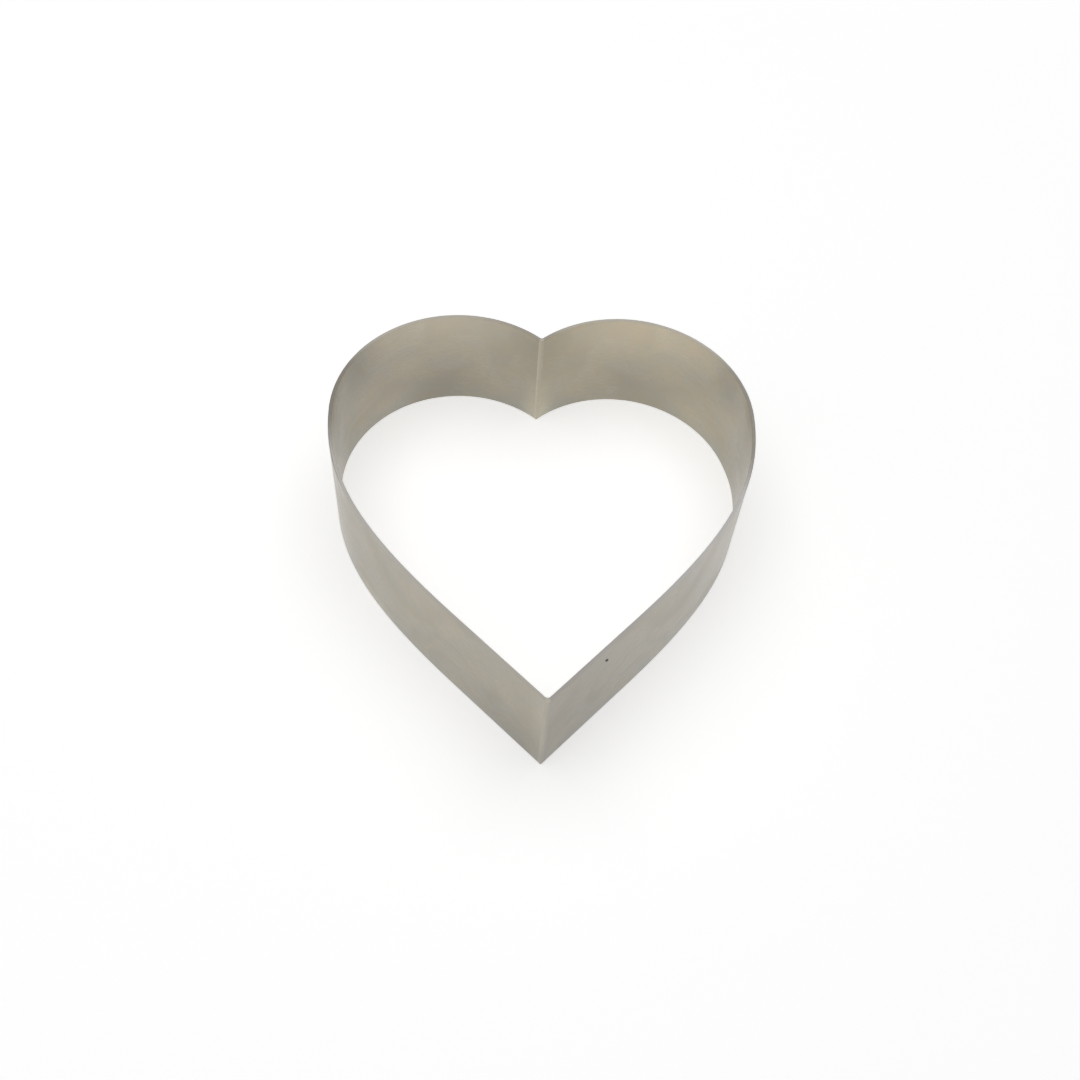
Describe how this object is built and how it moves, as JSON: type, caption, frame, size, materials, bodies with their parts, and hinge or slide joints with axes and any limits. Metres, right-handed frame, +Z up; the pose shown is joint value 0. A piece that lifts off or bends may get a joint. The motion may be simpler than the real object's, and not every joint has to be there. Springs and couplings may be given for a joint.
{
  "type": "heart cake ring",
  "caption": "Heart-shaped open cake ring of satin stainless strip, welded at the cleft and the point, for cutting or moulding cakes and mousse.",
  "frame": {"origin": "on the table, under the middle of the outline's length and width", "axes": "+Z up along the wall's height, +Y from the heart's point to its lobes, +X to the right lobe"},
  "size_m": [0.148, 0.1564, 0.045],
  "materials": {
    "satin_steel": "satin rolled stainless strip with a fine lengthwise grain",
    "dressed_weld": "fused seam, ground and dressed to a small radius"
  },
  "bodies": {
    "root": {"right_band": "satin_steel", "left_band": "satin_steel", "point_weld": "dressed_weld", "cleft_weld": "dressed_weld"}
  },
  "joints": []
}
